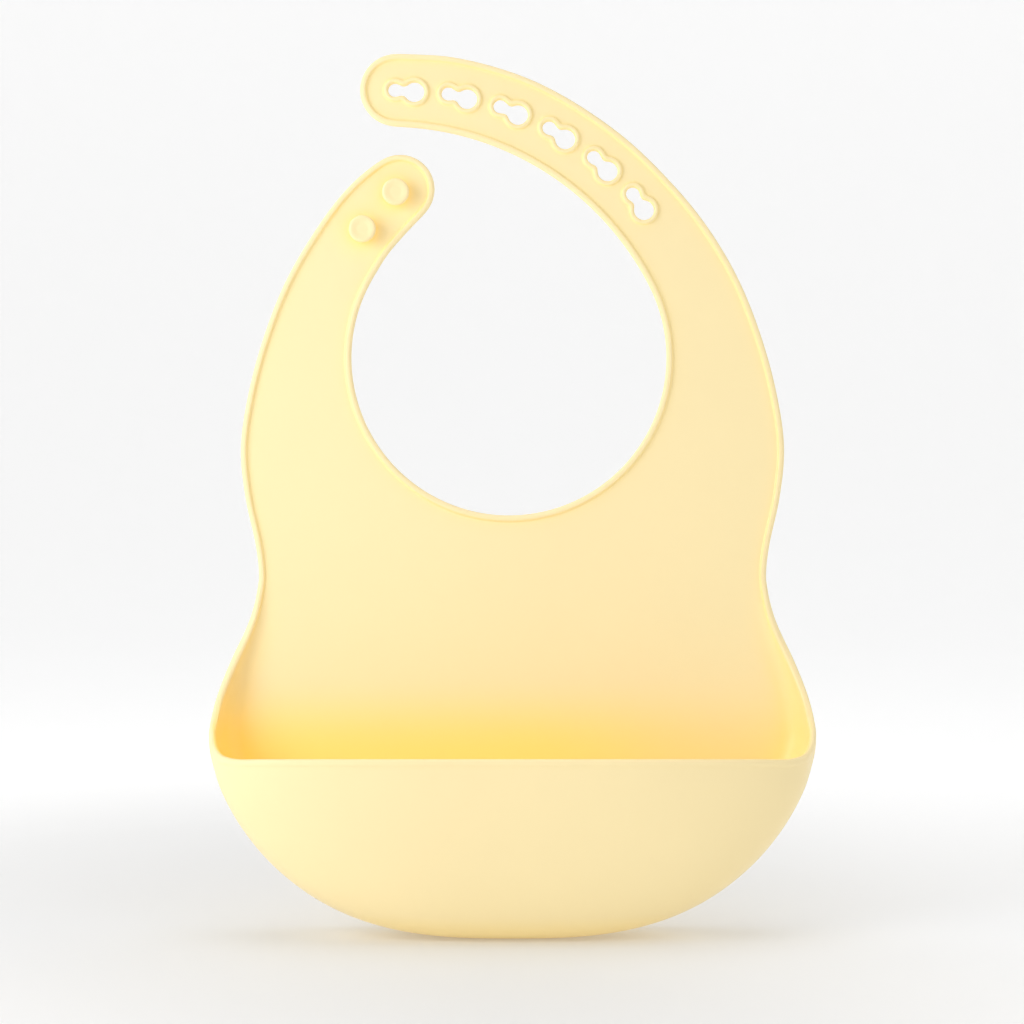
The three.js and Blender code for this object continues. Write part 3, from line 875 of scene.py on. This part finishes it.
class Shading:
    """A new material with its shader, and short ways to add and join nodes."""

    def __init__(self, name):
        self.material = bpy.data.materials.new(name)
        self.material.use_nodes = True
        self.nodes = self.material.node_tree.nodes
        self.links = self.material.node_tree.links
        self.inputs = self.nodes["Principled BSDF"].inputs
        self.place = self.nodes.new("ShaderNodeTexCoord").outputs["Object"]
        axes = self.nodes.new("ShaderNodeSeparateXYZ")
        self.links.new(self.place, axes.inputs["Vector"])
        self.axes = axes.outputs

    def noise(self, scale, detail):
        """Noise over the object, 0 to 1."""
        node = self.nodes.new("ShaderNodeTexNoise")
        node.inputs["Scale"].default_value = scale
        node.inputs["Detail"].default_value = detail
        self.links.new(self.place, node.inputs["Vector"])
        return node.outputs["Fac"]

    def ramp(self, source, start, end, low, high, shape="SMOOTHSTEP"):
        """A value that goes from low to high while the source goes from start to end."""
        node = self.nodes.new("ShaderNodeMapRange")
        node.interpolation_type = shape
        node.inputs["From Min"].default_value, node.inputs["From Max"].default_value = start, end
        node.inputs["To Min"].default_value, node.inputs["To Max"].default_value = low, high
        self.links.new(source, node.inputs["Value"])
        return node.outputs["Result"]

    def maths(self, operation, a, b):
        """The sum or product of a value and a number or another value."""
        node = self.nodes.new("ShaderNodeMath")
        node.operation = operation
        for socket, value in zip(node.inputs, (a, b)):
            if isinstance(value, (int, float)):
                socket.default_value = value
            else:
                self.links.new(value, socket)
        return node.outputs["Value"]

    def bump(self, height, strength, distance, below=None):
        """A normal that follows a height, over the normal of another bump."""
        node = self.nodes.new("ShaderNodeBump")
        node.inputs["Strength"].default_value = strength
        node.inputs["Distance"].default_value = distance
        self.links.new(height, node.inputs["Height"])
        if below:
            self.links.new(below, node.inputs["Normal"])
        return node.outputs["Normal"]


def silicone():
    """Matte pale yellow silicone: a fine moulded grain, slow changes of gloss and a faint mottle, with painted
    shade and painted light: a deeper colour and an emitted orange glow in sheltered places and inside the
    catcher, standing in for light scattered inside the rubber, and a faint emitted glow all over."""
    look = Shading("silicone")
    look.inputs["IOR"].default_value = 1.41
    look.inputs["Specular IOR Level"].default_value = 0.6
    look.inputs["Sheen Weight"].default_value = 0.12
    look.inputs["Sheen Roughness"].default_value = 0.35

    tone = look.nodes.new("ShaderNodeValToRGB")
    deep, pale = tone.color_ramp.elements
    deep.position, pale.position = 0.3, 0.7
    deep.color, pale.color = tuple(c * MOTTLE for c in SILICONE) + (1,), SILICONE + (1,)
    look.links.new(look.noise(14, 3), tone.inputs["Fac"])

    # Painted shade: places hidden by ambient occlusion, less so near the floor, and faces inside the catcher take a
    # deeper colour
    shade_occlusion = look.nodes.new("ShaderNodeAmbientOcclusion")
    shade_occlusion.samples = 3
    shade_occlusion.inputs["Distance"].default_value = SHELTER_REACH
    nook_shade = look.ramp(shade_occlusion.outputs["AO"], SHELTER_OPEN, SHELTER_CLOSED, 0, NOOK_PAINTED_SHADE)
    off_ground = look.ramp(look.axes["Z"], GROUND_LOW, GROUND_HIGH, GROUND_SHADE_SHARE, 1)
    pocket_shade = look.nodes.new("ShaderNodeAttribute")
    pocket_shade.attribute_name = "pocket_shade"
    pocket_shade_share = look.maths("MULTIPLY", pocket_shade.outputs["Fac"], POCKET_PAINTED_SHADE)
    depth = look.maths("ADD", look.maths("MULTIPLY", nook_shade, off_ground), pocket_shade_share)

    painted_shade_mix = look.nodes.new("ShaderNodeMix")
    painted_shade_mix.data_type = "RGBA"
    factor, near, far = painted_shade_mix.inputs[0], painted_shade_mix.inputs[6], painted_shade_mix.inputs[7]
    far.default_value = SILICONE_PAINTED_SHADE + (1,)
    look.links.new(depth, factor)
    look.links.new(tone.outputs["Color"], near)
    look.links.new(painted_shade_mix.outputs[2], look.inputs["Base Color"])
    # Painted light: an orange emitted glow that grows with the painted shade, over a faint emitted glow all over
    glow = look.maths("ADD", look.maths("MULTIPLY", depth, SHELTER_PAINTED_GLOW), PAINTED_GLOW_ALL_OVER)
    look.links.new(glow, look.inputs["Emission Strength"])
    look.inputs["Emission Color"].default_value = PAINTED_GLOW_COLOUR + (1,)

    gloss = look.ramp(look.noise(60, 4), 0, 1, 0.38, 0.50, "LINEAR")
    look.links.new(gloss, look.inputs["Roughness"])
    grain = look.bump(look.noise(2600, 2), 0.10, 0.00015)
    wave = look.bump(look.noise(22, 2), 0.12, 0.0012, grain)
    look.links.new(wave, look.inputs["Normal"])
    return look.material


def backdrop():
    """Pale matte paper that glows unevenly: dim by the bib, partly as a painted shade round it, brighter to the right
    and further back.
    """
    look = Shading("backdrop")
    look.inputs["Base Color"].default_value = (PAPER, PAPER, PAPER, 1)
    look.inputs["Roughness"].default_value = 0.9
    look.inputs["Specular IOR Level"].default_value = 0.1
    look.inputs["Emission Color"].default_value = (1, 1, 1, 1)
    away = look.nodes.new("ShaderNodeVectorMath")
    away.operation = "LENGTH"
    look.links.new(look.place, away.inputs[0])
    strength = look.nodes.new("ShaderNodeMix")
    share, near, far = strength.inputs[0], strength.inputs[2], strength.inputs[3]
    look.links.new(look.ramp(away.outputs["Value"], *AWAY), share)
    look.links.new(look.ramp(look.axes["X"], *SHADED_FRONT_GLOW), near)
    look.links.new(look.ramp(look.axes["Y"], *BACK_GLOW), far)
    look.links.new(strength.outputs[0], look.inputs["Emission Strength"])
    return look.material


# ---- Studio ----

# In metres and watts. The floor lies 0.2 mm under the catcher.
FLOOR = -0.2040
STAGE_FLAT, STAGE_CURVE, STAGE_TOP = 1.5, 0.9, 2.6
CAMERA = (0.0011, -0.800, -0.0554)
LENS = 78.1
LIGHT_AIM = (0, 0, -0.05)
LIGHTS = [("key", (-0.50, -0.38, 0.10), 0.40, 1.8), ("top", (0, 0.05, 1.3), 1.2, 8)]
AMBIENT = 0.11


def stage():
    """A round floor that curves up into a wall, far outside every camera."""
    bm = bmesh.new()
    profile = [(0.0, 0.0), (0.5, 0.0), (STAGE_FLAT, 0.0)]
    for a in np.radians(np.linspace(6, 90, 15)):
        profile.append((STAGE_FLAT + STAGE_CURVE * math.sin(a), STAGE_CURVE * (1 - math.cos(a))))
    profile.append((STAGE_FLAT + STAGE_CURVE, STAGE_TOP))
    around = np.linspace(0, 2 * math.pi, 96, endpoint=False)
    centre = bm.verts.new((0, 0, FLOOR))
    rings = []
    for r, h in profile[1:]:
        rings.append([bm.verts.new((r * math.cos(a), r * math.sin(a), FLOOR + h)) for a in around])
    for k in range(len(around)):
        bm.faces.new((centre, rings[0][k], rings[0][(k + 1) % len(around)]))
    for low, high in zip(rings, rings[1:]):
        for k in range(len(around)):
            n = (k + 1) % len(around)
            bm.faces.new((low[k], high[k], high[n], low[n]))
    for face in bm.faces:
        face.smooth = True
    floor = mesh_object("studio_floor", bm)
    floor.data.materials.append(backdrop())
    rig.stage(floor)


def light(name, place, size, power):
    """A square soft white light, aimed at the bib."""
    lamp = bpy.data.lights.new(name, "AREA")
    lamp.size, lamp.energy = size, power
    obj = bpy.data.objects.new(name, lamp)
    obj.location = place
    obj.rotation_euler = (Vector(LIGHT_AIM) - Vector(place)).to_track_quat("-Z", "Y").to_euler()
    obj.visible_camera = False
    bpy.context.collection.objects.link(obj)


def studio():
    """The stage, two lights, an even white surround and the camera."""
    stage()
    world = bpy.data.worlds.new("studio")
    bpy.context.scene.world = world
    world.use_nodes = True
    surround = world.node_tree.nodes["Background"]
    surround.inputs["Color"].default_value = (1, 1, 1, 1)
    surround.inputs["Strength"].default_value = AMBIENT
    for name, place, size, power in LIGHTS:
        light(name, place, size, power)
    camera = bpy.data.objects.new("camera", bpy.data.cameras.new("camera"))
    camera.location = CAMERA
    camera.rotation_euler = (math.pi / 2, 0, 0)
    camera.data.lens = LENS
    camera.data.sensor_width = 36
    bpy.context.collection.objects.link(camera)
    bpy.context.scene.camera = camera
    bpy.context.scene.view_settings.view_transform = "Standard"


# ---- The bib ----

def curl_points(curl):
    """Where a curl's bend starts and ends, in metres from the centre of the neck opening."""
    middle, along, half = curl_line(curl)
    middle.x -= NECK_X
    return tuple((middle - along * half) * MM), tuple((middle + along * half) * MM)


bib = split_bib()
for name, (x, z) in STUDS.items():
    bib[name] = stud(name, x, z)

material = silicone()
for piece in bib.values():
    piece.data.materials.append(material)
    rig.slot(piece, "silicone")

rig.blend(bib["bib_panel"], "chest", "lower", (0, 0, PANEL_BEND[0] * MM), (0, 0, PANEL_BEND[1] * MM))
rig.blend(bib["bib_catcher"], "lower", "catcher_front", (0, FRONT_BEND[0] * MM, 0), (0, FRONT_BEND[1] * MM, 0))
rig.blend(
    bib["short_strap_foot"], "chest", "short_strap", (0, 0, STRAP_BEND[0] * MM), (0, 0, STRAP_BEND[1] * MM))
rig.blend(bib["short_strap_end"], "short_strap", "short_tab", *curl_points(SHORT_CURL))
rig.blend(bib["long_strap_foot"], "chest", "long_root", (0, 0, STRAP_BEND[0] * MM), (0, 0, STRAP_BEND[1] * MM))
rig.blend(bib["long_strap_body"], "long_root", "long_middle", *curl_points(LONG_CURL))
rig.blend(bib["long_strap_end"], "long_middle", "long_tip", *curl_points(TIP_CURL))
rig.ride(bib["stud_upper"], "short_tab")
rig.ride(bib["stud_lower"], "short_tab")

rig.replaces(bib["bib_panel"], "chest_panel", "lower_panel")
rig.replaces(bib["bib_catcher"], "catcher_tray", "catcher_front_wall")
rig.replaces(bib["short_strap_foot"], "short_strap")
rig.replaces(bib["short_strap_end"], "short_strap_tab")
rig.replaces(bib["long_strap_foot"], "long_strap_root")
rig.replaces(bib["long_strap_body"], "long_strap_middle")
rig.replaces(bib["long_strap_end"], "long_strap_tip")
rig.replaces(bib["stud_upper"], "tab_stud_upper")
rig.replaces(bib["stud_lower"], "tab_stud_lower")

studio()

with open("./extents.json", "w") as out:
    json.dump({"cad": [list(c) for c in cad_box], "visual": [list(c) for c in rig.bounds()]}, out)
